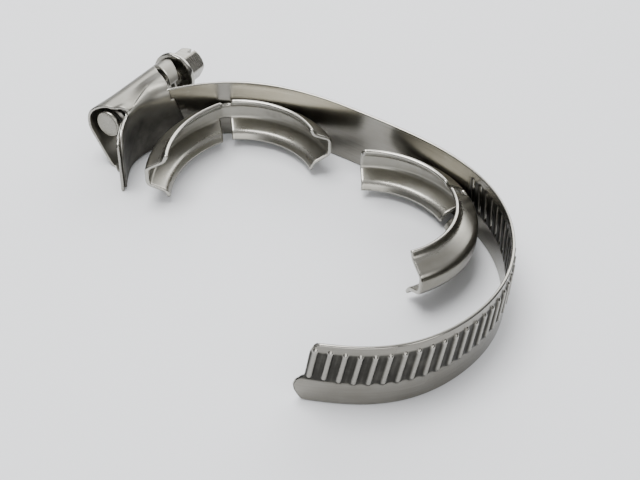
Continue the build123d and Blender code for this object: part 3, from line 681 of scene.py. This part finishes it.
for i in range(n_st):
    f = (i - NTG) / N1
    RB = rb_at(f)
    ZMF = zm_at(f)
    Z_T = Z_ROOF - (ZM - ZMF)
    fc = min(max(f, 0.0), 1.0)
    xr_, yr_, hr_ = plate_pt(s_m + (S_END - s_m) * fc, RB)
    v_pr = to_uv(xr_, yr_)[1]
    even = float(smooth(-0.02, 0.26, fc))
    zs_plate = np.linspace(ZMF - RB, 0.02, n_plate)
    in_sleeve = NTG <= i <= NTG + N1
    # plate line station
    if i <= NTG:
        fs = i / NTG
    if in_sleeve:
        s_i = s_m + (S_END - s_m) * f
    elif i < NTG:
        s_i = None
    else:
        s_i = S_END
    for j in range(nj):
        if j < j_roof:                               # floor, wall, hump, roof start
            if j < n_floor:
                # from the plate's line to the corner
                g = j / n_floor
                v0 = None
                ff = min(max(f, 0), 1)
                sA = -1.19 + (S_END + 1.19) * ff
                x, y, h = plate_pt(sA, 0.03)
                ur, vr = to_uv(x, y)
                cu = mouth_u(vb, zb) + ((1.30) - mouth_u(vb, zb)) * ff
                u = ur + (cu - ur) * g
                low = 1 - float(smooth(0.0, 0.5, ff))
                u -= 0.060 * low * g
                v = vr + (vb - 0.030 - 0.050 * low - vr) * g
                u -= 0.065 * math.sin(math.pi * min(1.0, g * 1.15)) * max(0.0, 1 - ff * 5)
                z = zb
                if f > 1:
                    u += (f - 1) * 0.6
                PH[i, j] = world_uv(u, v, z)
                tH[i, j] = 0.30
                continue
            v, z = curve_a[j - n_floor]
            if j > j_top:
                zt = curve_a[j_top - n_floor][1]
                v = v * roof_k(max(f, 0.0))
                q_ = min(1.0, abs(v / v_pr))
                z = z + (zt + (ZMF - zt) * q_ * q_ * (3 - 2 * q_) - z) * even
            if j - n_floor < 3:
                tH[i, j] = 0.30 + 0.15 * (j - n_floor)
            um = mouth_u(v, z)
            low = (1 - float(smooth(0.0, 0.55, z))) * (1 - float(smooth(0.0, 0.5, max(f, 0.0)))) if j < j_top else 0.0
            um -= 0.060 * low
            vv = v if z > 0.5 else 0.25
            u1 = line_u(*L1, vv); u2 = line_u(*L2, vv)
            u3 = min(1.655, 1.70 + (vv - 0.05) * (0.225 / 0.30)) if vv < 0.05 else 1.655
            if j > j_top + 1:
                u1 = line_u(*L1, v)
            if i <= NTG + N1:
                g = max(f, 0.0)
                g = g
                u = um + (u1 - um) * g
            elif i <= NTG + N1 + N2:
                u = u1 + (u2 - u1) * (i - NTG - N1) / N2
            else:
                u = u2 + (u3 - u2) * (i - NTG - N1 - N2) / N3
            # flare of the mouth's outer upper corner
            if j <= j_top:
                fl_m = (1 - smooth(0.0, 0.34, max(f, 0.0)))
                aa = math.atan2(z - SCREW_Z, v)
                k = math.exp(-((math.degrees(aa) - 24) / 30.0) ** 2) * fl_m
                kd = math.exp(-((math.degrees(aa) + 25) / 20.0) ** 2) * fl_m if z < 0.66 else 0
                v = v + 0.024 * k - 0.006 * kd
                z = z + 0.016 * k
            if i > NTG + N1 + N2 - 1 and j > j_top:
                v, z = strap_pt(j - j_top, u)
                a_deg = 90 + (j - j_top) * 7.2
                u2s = 1.335 - 0.0020 * (a_deg - 90)
                u3s = 1.65 - 0.0034 * (a_deg - 90)
                u = u2s + (u3s - u2s) * max(0, (i - NTG - N1 - N2)) / N3
            PH[i, j] = world_uv(u, v - 0.050 * low, z)
            continue
        # roof, bend, plate
        if i > NTG + N1 + N2 - 1 and j < j_plate:    # strap rows keep curling
            v, z = strap_pt(j - j_top, 0)
            a_deg = 90 + (j - j_top) * 7.2
            u2s = 1.335 - 0.0020 * (a_deg - 90)
            u3s = 1.65 - 0.0034 * (a_deg - 90)
            u = u2s + (u3s - u2s) * max(0, (i - NTG - N1 - N2)) / N3
            PH[i, j] = world_uv(u, v, z)
            continue
        if j >= j_plate:
            z = zs_plate[j - j_plate]
            s_start = tongue_start(min(z, Z_T), 1.05, 0.30, Z_T)
            z_rel = min(z, 1.0)
            s_endz = -0.02 + 0.35 * (1 - z_rel)
            if i < NTG:
                s_ = s_start + (s_m - s_start) * (i / NTG) ** 1.0
            elif i <= NTG + N1:
                s_ = s_i
            else:
                g = min(1, (i - NTG - N1) / NPS)
                s_ = S_END + (s_endz - S_END) * g
            x, y, h = plate_pt(s_, 0.0)
            PH[i, j] = (x * W, y * W, z * W)
            continue
        if j >= j_bend:
            k = (j - j_bend) / n_bend                # 0 roof side .. 1 plate side
            al = k * math.pi / 2
            ro, zo = RB * (1 - math.sin(al)), ZMF - RB * (1 - math.cos(al))
            if i < NTG:
                w_ = smooth(0.80, 1.0, i / NTG)
                zl = ZMF - RB * k
                s_start = tongue_start(min(zl, Z_T), 1.05, 0.30, Z_T)
                s_ = s_start + (s_m - s_start) * (i / NTG)
                ro, zo = ro * w_, zo * w_ + zl * (1 - w_)
            elif i <= NTG + N1:
                s_ = s_i
            else:
                s_ = S_END
            x, y, h = plate_pt(s_, ro)
            PH[i, j] = (x * W, y * W, zo * W)
            continue
        # roof
        g = (j - j_roof + 1) / (n_roof + 1)
        ff = min(max(f, 0.0), 1.0)
        vH, zH = curve_a[-1][0] * roof_k(ff), PH[i, j_roof - 1, 2] / W
        uH = mouth_u(vH, zH) + (line_u(*L1, vH) - mouth_u(vH, zH)) * ff
        x, y, h = plate_pt(s_m + (S_END - s_m) * ff, RB)
        pr = np.array([x * W, y * W, ZMF * W])
        pH = world_uv(uH, vH, zH)
        PH[i, j] = pH + (pr - pH) * g
        zt = curve_a[j_top - n_floor][1]
        q_ = min(1.0, abs((vH + (v_pr - vH) * g) / v_pr))
        PH[i, j, 2] += ((zt + (ZMF - zt) * q_ * q_ * (3 - 2 * q_)) * W - PH[i, j, 2]) * even
# normals from the grid
for i in range(n_st):
    ia, ib = max(0, i - 1), min(n_st - 1, i + 1)
    for j in range(nj):
        ja, jb = max(0, j - 1), min(nj - 1, j + 1)
        di = PH[ib, j] - PH[ia, j]
        dj = PH[i, jb] - PH[i, ja]
        n = np.cross(di, dj)
        l = np.linalg.norm(n)
        NHh[i, j] = n / l if l > 1e-9 else (0, 0, 1)
# normals that must not mix sleeve and strap or plate rows: recompute with one-sided steps at the breaks
for i in (NTG + N1, NTG + N1 + N2 - 1, NTG + N1 + N2):
    for j in range(nj):
        back = i == NTG + N1
        o = i - 1 if back else i + 1
        di = (PH[i, j] - PH[o, j]) * (1 if back else -1)
        ja, jb = max(0, j - 1), min(nj - 1, j + 1)
        n = np.cross(di, PH[i, jb] - PH[i, ja])
        l = np.linalg.norm(n)
        if l > 1e-9:
            NHh[i, j] = n / l
for i in range(NTG + N1 + 1, n_st):                 # past the seam the plate's own line
    for j in range(j_plate, nj):
        x, y, h = band_at(min(0.33, max(-0.02, 0.0)))
        di = PH[i, j] - PH[i - 1, j]
        n = np.cross(di, (0, 0, -1.0))
        l = np.linalg.norm(n)
        if l > 1e-9:
            NHh[i, j] = n / l
for i in range(0, NTG):
    for j in range(j_bend, nj):
        o = i + 1
        di = PH[o, j] - PH[i, j]
        n = np.cross(di, (0, 0, -1.0))
        l = np.linalg.norm(n)
        if l > 1e-9 and (j >= j_plate or i < NTG * 0.7):
            NHh[i, j] = n / l
FH[..., 0] = np.arange(n_st)[:, None] * 0.5
lens = np.concatenate([[0], np.cumsum(np.linalg.norm(np.diff(PH[NTG + N1 // 2], axis=0), axis=1))])
FH[..., 1] = lens[None, :]
for i in range(n_st - 1):
    for j in range(nj - 1):
        ok = False
        if j < j_bend:                                # floor .. roof
            if NTG <= i < NTG + N1:
                ok = True
            elif NTG + N1 <= i < NTG + N1 + N2:
                ok = n_floor + 3 <= j < j_top - 9      # wall and outer side of the hump stay closed
            elif NTG + N1 + N2 <= i < NTG + N1 + N2 + N3:
                ok = n_floor + 5 <= j < j_top + 9      # strap, curling over the neck
        else:
            if i < NTG + N1:
                ok = True
            elif j >= j_plate and i < NTG + N1 + NPS:
                ok = True
        mask[i, j] = ok
bagH = Bag()
wearH = np.zeros((n_st, nj))
wearH[:, j_bend:j_plate] = 0.10
# painted shade: the plate's colour darkens towards its bottom edge
FH[:, j_plate:, 2] = 0.95 * smooth(-1.0, 9.0, np.arange(nj - j_plate))[None, :]
sheet(bagH, PH, NHh, tH, FH, mask=mask, r=0.24, wear=wearH)

# neck wall: a ring plate inside the hump
na, nr = 40, 4
PN = np.zeros((na, nr, 3)); FN = np.zeros((na, nr, 3)); NN = np.zeros((na, nr, 3))
for i, a_ in enumerate(np.linspace(math.radians(-55), math.radians(205), na)):
    for j, r_ in enumerate(np.linspace(0.205, RM - 0.002, nr)):
        PN[i, j] = world_uv(1.355, r_ * math.cos(a_), SCREW_Z + r_ * math.sin(a_))
        NN[i, j] = (UX, UY, 0)
        FN[i, j] = (i, j, 0)
sheet(bagH, PN, NN, T_HSG, FN, r=0.2)
V, F, fl_, wr_, tg_ = finish_bag(bagH)
housing = make_mesh("housing_shell", V, F, fl_, wr_, area_normals(V, F))

# ------------------------------------------------------------------ screw
AF = 7.94
R_TH, R_RT, R_TIP, R_NK = 0.245 * W, 0.180 * W, 0.222 * W, 0.165 * W
R_CO, T_CO = 0.388 * W, 0.095 * W
U0, U_TE, U_CO, U_HE = (v * W for v in (-0.10, 1.22, 1.68, 2.245))
HEX_ROT = -6.0
PITCH = 2.83
na = 144
angs = np.linspace(0, 2 * math.pi, na, endpoint=False)


def hex_r(a_):
    b_ = (a_ - math.radians(HEX_ROT + 30)) % (math.pi / 3)
    b_ = np.minimum(b_, math.pi / 3 - b_)
    r = (AF / 2) / np.cos(b_)
    rmax = AF / 2 / math.cos(math.pi / 6) - 0.10
    return np.minimum(r, rmax)


prof = []                                            # (u, kind, radius)
prof += [(U0 + 0.30, "c", R_TIP * 0.10), (U0 + 0.28, "c", R_TIP * 0.45), (U0 + 0.20, "c", R_TIP * 0.70), (U0 + 0.10, "c", R_TIP * 0.80),
         (U0 + 0.02, "c", R_TIP - 0.52), (U0, "c", R_TIP - 0.42), (U0 + 0.04, "c", R_TIP - 0.28), (U0 + 0.16, "c", R_TIP - 0.12), (U0 + 0.36, "c", R_TIP - 0.02)]
prof += [(U0 + v, "t", 0) for v in np.linspace(0.55, U_TE - U0 - 0.02, 150)]
prof += [(U_TE + 0.10, "c", R_NK + 0.30), (U_TE + 0.3, "c", R_NK + 0.05), (U_TE + 0.5, "c", R_NK), (U_CO - 0.35, "c", R_NK), (U_CO - 0.12, "c", R_NK + 0.06),
         (U_CO - 0.02, "c", R_NK + 0.22), (U_CO, "c", R_NK + 0.5), (U_CO, "c", R_CO * 0.7), (U_CO, "c", R_CO - 0.42), (U_CO + 0.04, "c", R_CO - 0.22),
         (U_CO + 0.14, "c", R_CO - 0.07), (U_CO + 0.32, "c", R_CO), (U_CO + T_CO - 0.30, "c", R_CO), (U_CO + T_CO - 0.12, "c", R_CO - 0.07),
         (U_CO + T_CO - 0.02, "c", R_CO - 0.24), (U_CO + T_CO, "c", R_CO - 0.5)]
prof += [(U_CO + T_CO, "h", 0.35), (U_CO + T_CO + 0.06, "h", 0.12), (U_CO + T_CO + 0.25, "h", 0.0)]
prof += [(v, "h", 0.0) for v in np.linspace(U_CO + T_CO + 0.6, U_HE - 1.35, 5)]
prof += [(U_HE - v, "H", v) for v in (1.1, 0.9, 0.7, 0.5, 0.35, 0.2, 0.08, 0.0)]
prof += [(U_HE, "e", 0.80), (U_HE, "e", 0.5), (U_HE, "e", 0.2), (U_HE, "e", 0.03)]
RS = np.zeros((len(prof), na)); US = np.zeros((len(prof), na))
for i, (u, kind, val) in enumerate(prof):
    if kind == "c":
        RS[i] = val
    elif kind == "t":
        ph = ((u - U0) / PITCH - angs / (2 * math.pi)) % 1.0
        d = abs(ph - 0.5) * PITCH
        crest = 1 - smooth(0.34, 0.98, d)
        fade = smooth(U0 + 2.2, U0 + 3.4, u) * (1 - smooth(U_TE - 2.4, U_TE - 1.3, u))
        base_r = R_TIP + (R_RT - R_TIP) * smooth(U0 + 1.2, U0 + 2.4, u)
        end_r = R_TH * smooth(U_TE - 1.7, U_TE - 0.9, u)
        RS[i] = np.maximum(base_r + (R_TH - base_r) * crest * fade, end_r)
        if u > U_TE - 0.2:
            RS[i] = RS[i] - (u - U_TE + 0.2) * 0.8
    elif kind == "h":
        RS[i] = hex_r(angs) - val
    elif kind == "H":
        cone = (AF / 2 - 0.10) + (val) * 1.05
        k = 3.0
        a_, b_ = hex_r(angs), np.full(na, cone)
        RS[i] = np.minimum(a_, b_) - 0.03 * np.exp(-abs(a_ - b_) * 6)
    else:
        RS[i] = (AF / 2 - 0.22) * val
    US[i] = u
bagS = Bag()
pts = np.zeros((len(prof), na, 3)); fS = np.zeros((len(prof), na, 3))
for i in range(len(prof)):
    v = RS[i] * np.cos(angs); w = RS[i] * np.sin(angs)
    pts[i, :, 0] = SCREW_TIP[0] * W + US[i] * UX + v * VX
    pts[i, :, 1] = SCREW_TIP[1] * W + US[i] * UY + v * VY
    pts[i, :, 2] = SCREW_Z * W + w
    fS[i, :, 0] = angs * 6.0
    fS[i, :, 1] = US[i] * 1.0
wS = np.zeros((len(prof), na))
for i, (u, kind, val) in enumerate(prof):
    if kind == "t":
        wS[i] = np.clip((RS[i] - R_RT) / (R_TH - R_RT), 0, 1) * 0.6
        # painted shade: the thread roots are coloured darker through the flow attribute's third channel
        fS[i, :, 2] = 1 - np.clip((RS[i] - R_RT) / (R_TH - R_RT), 0, 1)
    if U_CO + 0.1 < u < U_CO + T_CO - 0.05 and kind == "c":
        wS[i] = 1.0
k = bagS.add(pts, fS, wS.ravel())
quads = []
for i in range(len(prof) - 1):
    for j in range(na):
        a_, b_ = k + i * na + j, k + i * na + (j + 1) % na
        quads.append([a_, b_, b_ + na, a_ + na])
bagS.f.append(np.array(quads)); bagS.tag.append(np.zeros(len(quads), int))
V, F, fl_, wr_, tg_ = finish_bag(bagS)
screw = make_mesh("screw_turned", V, F, fl_, wr_)
# close the two ends
import bmesh
bm = bmesh.new(); bm.from_mesh(screw.data)
bm.edges.ensure_lookup_table()
bmesh.ops.holes_fill(bm, edges=[e for e in bm.edges if e.is_boundary], sides=0)
bmesh.ops.recalc_face_normals(bm, faces=bm.faces)
for f_ in bm.faces:
    f_.smooth = True
bm.to_mesh(screw.data); bm.free()
# screwdriver slot across the head
c = world_uv(U_HE / W, 0, SCREW_Z) / 1000 + np.array([SHX, SHY, 0]) / 1000
bm = bmesh.new()
bmesh.ops.create_cube(bm, size=1.0)
bmesh.ops.scale(bm, vec=(0.0012, 0.014, 0.0048), verts=bm.verts)
bmesh.ops.bevel(bm, geom=[e for e in bm.edges], offset=0.00012, segments=1, affect="EDGES")
me = bpy.data.meshes.new("slot_tool"); bm.to_mesh(me); bm.free()
tool = bpy.data.objects.new("slot_tool", me)
bpy.context.scene.collection.objects.link(tool)
zax = Vector((UX, UY, 0)); xax = Vector((VX, VY, 0)); yax = zax.cross(xax)
rot = Matrix((xax, yax, zax)).transposed().to_4x4()
tool.matrix_world = Matrix.Translation(Vector(c)) @ rot @ Matrix.Rotation(math.radians(10), 4, "Z")
bpy.context.view_layer.update()
mod = screw.modifiers.new("slot", "BOOLEAN"); mod.operation = "DIFFERENCE"; mod.object = tool; mod.solver = "EXACT"
dg = bpy.context.evaluated_depsgraph_get()
newme = bpy.data.meshes.new_from_object(screw.evaluated_get(dg), preserve_all_data_layers=True, depsgraph=dg)
screw.modifiers.clear(); screw.data = newme
bpy.data.objects.remove(tool)
newme.set_sharp_from_angle(angle=math.radians(32))


# ------------------------------------------------------------------ materials
def steel(name, colour, rough, streak=(0.35, 16.0), bump=0.10, mottle=0.10, dark=(0.16, 0.15, 0.14), valley_k=0.55, seed=0.0):
    m = bpy.data.materials.new(name)
    m.use_nodes = True
    nt = m.node_tree
    nt.nodes.clear()
    N = nt.nodes.new; L = nt.links.new
    out = N("ShaderNodeOutputMaterial"); pb = N("ShaderNodeBsdfPrincipled")
    L(pb.outputs[0], out.inputs[0])
    pb.inputs["Metallic"].default_value = 1.0
    pb.inputs["IOR"].default_value = 2.2
    fl = N("ShaderNodeAttribute"); fl.attribute_name = "flow"; fl.attribute_type = "GEOMETRY"
    wr = N("ShaderNodeAttribute"); wr.attribute_name = "wear"; wr.attribute_type = "GEOMETRY"
    sep = N("ShaderNodeSeparateXYZ"); L(fl.outputs["Vector"], sep.inputs[0])
    # long rolling marks
    mp = N("ShaderNodeMapping"); L(fl.outputs["Vector"], mp.inputs[0])
    mp.inputs["Scale"].default_value = (streak[0], streak[1], 0.0)
    mp.inputs["Location"].default_value = (seed, seed * 0.7, 0.0)
    n1 = N("ShaderNodeTexNoise"); n1.inputs["Scale"].default_value = 1.0; n1.inputs["Detail"].default_value = 4.0
    n1.inputs["Roughness"].default_value = 0.62
    L(mp.outputs[0], n1.inputs["Vector"])
    mp2 = N("ShaderNodeMapping"); L(fl.outputs["Vector"], mp2.inputs[0])
    mp2.inputs["Scale"].default_value = (streak[0] * 0.25, streak[1] * 0.22, 0.0)
    mp2.inputs["Location"].default_value = (seed * 2, 3.0, 0.0)
    n2 = N("ShaderNodeTexNoise"); n2.inputs["Scale"].default_value = 1.0; n2.inputs["Detail"].default_value = 3.0
    L(mp2.outputs[0], n2.inputs["Vector"])
    # stains and handling marks
    tc = N("ShaderNodeTexCoord")
    n3 = N("ShaderNodeTexNoise"); n3.inputs["Scale"].default_value = 190.0; n3.inputs["Detail"].default_value = 5.0
    n3.inputs["Roughness"].default_value = 0.6
    L(tc.outputs["Object"], n3.inputs["Vector"])
    n4 = N("ShaderNodeTexNoise"); n4.inputs["Scale"].default_value = 2400.0; n4.inputs["Detail"].default_value = 3.0
    L(tc.outputs["Object"], n4.inputs["Vector"])
    # fine random scratches
    mp3 = N("ShaderNodeMapping"); L(tc.outputs["Object"], mp3.inputs[0])
    mp3.inputs["Rotation"].default_value = (0.6, 0.9, 0.5); mp3.inputs["Scale"].default_value = (60, 1500, 60)
    n5 = N("ShaderNodeTexNoise"); n5.inputs["Scale"].default_value = 1.0; n5.inputs["Detail"].default_value = 2.0
    L(mp3.outputs[0], n5.inputs["Vector"])
    scr = N("ShaderNodeMapRange"); L(n5.outputs["Fac"], scr.inputs[0])
    scr.inputs[1].default_value = 0.68; scr.inputs[2].default_value = 0.74

    def math_(op, a_, b_, clamp=False):
        nd = N("ShaderNodeMath"); nd.operation = op; nd.use_clamp = clamp
        for k_, x_ in enumerate((a_, b_)):
            if x_ is None:
                continue
            if isinstance(x_, (int, float)):
                nd.inputs[k_].default_value = x_
            else:
                L(x_, nd.inputs[k_])
        return nd.outputs[0]

    # colour
    cr = N("ShaderNodeValToRGB"); L(n3.outputs["Fac"], cr.inputs[0])
    cr.color_ramp.elements[0].position = 0.30; cr.color_ramp.elements[1].position = 0.72
    lo_c = tuple(c_ * (1 - mottle * 1.6) for c_ in colour) + (1,)
    cr.color_ramp.elements[0].color = (lo_c[0], lo_c[1] * 0.985, lo_c[2] * 0.955, 1)
    cr.color_ramp.elements[1].color = tuple(colour) + (1,)
    # lighter colour for worn rims and for painted highlights on the band's rib crests and tips
    mx = N("ShaderNodeMix"); mx.data_type = "RGBA"
    L(cr.outputs[0], mx.inputs[6])
    mx.inputs[7].default_value = tuple(min(1, c_ * 1.18 + 0.06) for c_ in colour) + (1,)
    wfac = math_("MULTIPLY", wr.outputs["Fac"], 0.75, True)
    L(wfac, mx.inputs[0])
    # painted shade: the flow attribute's third channel mixes the colour towards the dark colour (band rib gaps, the
    # housing's plate, thread roots); on the retainers it makes a few listed dark spots
    mv = N("ShaderNodeMix"); mv.data_type = "RGBA"
    L(mx.outputs[2], mv.inputs[6]); mv.inputs[7].default_value = tuple(dark) + (1,)
    vfac = math_("MULTIPLY", sep.outputs["Z"], math_("ADD", math_("MULTIPLY", n3.outputs["Fac"], 0.8), valley_k - 0.4), True)
    L(vfac, mv.inputs[0])
    st_ = N("ShaderNodeMix"); st_.data_type = "RGBA"; st_.blend_type = "MULTIPLY"
    L(mv.outputs[2], st_.inputs[6])
    c2 = N("ShaderNodeValToRGB"); L(n2.outputs["Fac"], c2.inputs[0])
    c2.color_ramp.elements[0].position = 0.32; c2.color_ramp.elements[0].color = (0.86, 0.855, 0.84, 1)
    c2.color_ramp.elements[1].position = 0.62; c2.color_ramp.elements[1].color = (1, 1, 1, 1)
    L(c2.outputs[0], st_.inputs[7]); st_.inputs[0].default_value = 1.0
    L(st_.outputs[2], pb.inputs["Base Color"])
    # roughness
    r1 = math_("MULTIPLY", math_("SUBTRACT", n1.outputs["Fac"], 0.5), 0.09)
    r2 = math_("MULTIPLY", math_("SUBTRACT", n3.outputs["Fac"], 0.5), 0.12)
    r3 = math_("MULTIPLY", wr.outputs["Fac"], -0.10)
    r4 = math_("MULTIPLY", sep.outputs["Z"], 0.16)
    r5 = math_("MULTIPLY", scr.outputs[0], 0.05)
    rr = math_("ADD", math_("ADD", math_("ADD", r1, r2), math_("ADD", r3, r4)), math_("ADD", r5, rough), True)
    L(rr, pb.inputs["Roughness"])
    # bump
    hsum = math_("ADD", math_("ADD", n1.outputs["Fac"], math_("MULTIPLY", n4.outputs["Fac"], 0.25)), math_("MULTIPLY", scr.outputs[0], -0.12))
    bp_ = N("ShaderNodeBump"); bp_.inputs["Strength"].default_value = bump; bp_.inputs["Distance"].default_value = 0.00004
    L(hsum, bp_.inputs["Height"]); L(bp_.outputs[0], pb.inputs["Normal"])
    return m


# dark is the painted-shade colour for the band's rib gaps and the housing's plate
m_band = steel("band_steel_m", (0.255, 0.247, 0.223), 0.24, bump=0.07, mottle=0.07, dark=(0.035, 0.034, 0.030), valley_k=1.0, seed=1.0)
m_ret = steel("retainer_steel_m", (0.315, 0.307, 0.275), 0.31, streak=(0.16, 1.3), bump=0.022, mottle=0.085, seed=4.0)
m_hsg = steel("housing_steel_m", (0.285, 0.278, 0.250), 0.38, dark=(0.035, 0.033, 0.028), valley_k=0.85, streak=(0.6, 1.6), bump=0.07, mottle=0.07, seed=9.0)
m_scr = steel("screw_steel_m", (0.300, 0.292, 0.262), 0.27, streak=(0.2, 7.0), bump=0.10, mottle=0.10, seed=14.0, valley_k=0.75)
for o in band_pieces:
    o.data.materials.append(m_band)
ret_left.data.materials.append(m_ret)
ret_right.data.materials.append(m_ret)
housing.data.materials.append(m_hsg)
screw.data.materials.clear(); screw.data.materials.append(m_scr)

# ------------------------------------------------------------------ bodies
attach(band_pieces[0], "anchor")


for n, hs in enumerate(hinges):
    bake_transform(band_pieces[n + 1])
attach(band_pieces[-1], "tail_5")
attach(ret_left, "anchor"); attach(ret_right, "right_half"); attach(housing, "anchor"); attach(screw, "screw")
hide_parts("band_fixed_end")
cad_links = ["band_flex_1", "band_flex_2", "band_right_section", "band_tail_1", "band_tail_2", "band_tail_3", "band_tail_4", "band_tail_end"]
for n, nm in enumerate(cad_links):
    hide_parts(nm)
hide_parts("retainer_left"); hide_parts("retainer_right")
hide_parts("screw_housing"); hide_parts("worm_screw")

# ------------------------------------------------------------------ floor, light, camera
bpy.ops.mesh.primitive_plane_add(size=3.0, location=(0, 0, 0))
floor = bpy.context.object
floor.name = "floor"
fm = bpy.data.materials.new("floor_m"); fm.use_nodes = True
fb = fm.node_tree.nodes["Principled BSDF"]
fb.inputs["Base Color"].default_value = (0.72, 0.73, 0.75, 1); fb.inputs["Roughness"].default_value = 0.75
floor.data.materials.append(fm)

world = bpy.data.worlds.new("world"); bpy.context.scene.world = world
world.use_nodes = True
wn = world.node_tree.nodes; wl = world.node_tree.links
bg = wn["Background"]
tcw = wn.new("ShaderNodeTexCoord"); sepw = wn.new("ShaderNodeSeparateXYZ"); wl.new(tcw.outputs["Generated"], sepw.inputs[0])
rw = wn.new("ShaderNodeValToRGB"); wl.new(sepw.outputs["Z"], rw.inputs[0])
rw.color_ramp.elements[0].position = 0.10; rw.color_ramp.elements[0].color = (0.035, 0.035, 0.037, 1)
rw.color_ramp.elements[1].position = 0.95; rw.color_ramp.elements[1].color = (0.82, 0.82, 0.83, 1)
for p_, c_ in ((0.34, 0.30), (0.58, 0.70)):
    el_ = rw.color_ramp.elements.new(p_); el_.color = (c_, c_, c_ * 1.02, 1)
wl.new(rw.outputs[0], bg.inputs["Color"]); bg.inputs["Strength"].default_value = 0.8


def area(name, loc, target, size, power, colour=(1, 1, 1)):
    ld = bpy.data.lights.new(name, "AREA"); ld.shape = "RECTANGLE"; ld.size, ld.size_y = size
    ld.energy = power; ld.color = colour
    o = bpy.data.objects.new(name, ld); bpy.context.scene.collection.objects.link(o)
    o.location = loc
    o.rotation_mode = "QUATERNION"
    o.rotation_quaternion = (Vector(target) - Vector(loc)).to_track_quat("-Z", "Y")
    return o


area("key", (-0.20, 0.10, 0.75), (0, 0, 0), (0.60, 0.45), 10.5)
area("fill", (0.60, -0.50, 0.45), (0, 0, 0), (0.35, 0.35), 1.2)
area("rim", (0.22, 0.75, 0.42), (0, 0, 0), (1.2, 0.50), 8.0)
area("front", (0.05, -1.00, 0.40), (0, 0, 0), (0.9, 0.62), 5.5)

fpx, e_, D_, roll = 1000.096, 0.690973, 14.7671, 0.0427574
fwd = Vector((0, math.cos(e_), -math.sin(e_)))
right = Vector((1, 0, 0)); up = Vector((0, math.sin(e_), math.cos(e_)))
r2 = right * math.cos(roll) + up * math.sin(roll)
u2 = -right * math.sin(roll) + up * math.cos(roll)
C = Vector((0, -D_ * math.cos(e_), D_ * math.sin(e_)))
cd = bpy.data.cameras.new("camera"); cam = bpy.data.objects.new("camera", cd)
bpy.context.scene.collection.objects.link(cam)
cd.sensor_width = 36.0; cd.lens = fpx / 640 * 36.0
cd.clip_start, cd.clip_end = 0.01, 10.0
cam.matrix_world = Matrix(((r2.x, u2.x, -fwd.x, (C.x * W + SHX) / 1000), (r2.y, u2.y, -fwd.y, (C.y * W + SHY) / 1000),
                           (r2.z, u2.z, -fwd.z, C.z * W / 1000), (0, 0, 0, 1)))
bpy.context.scene.camera = cam
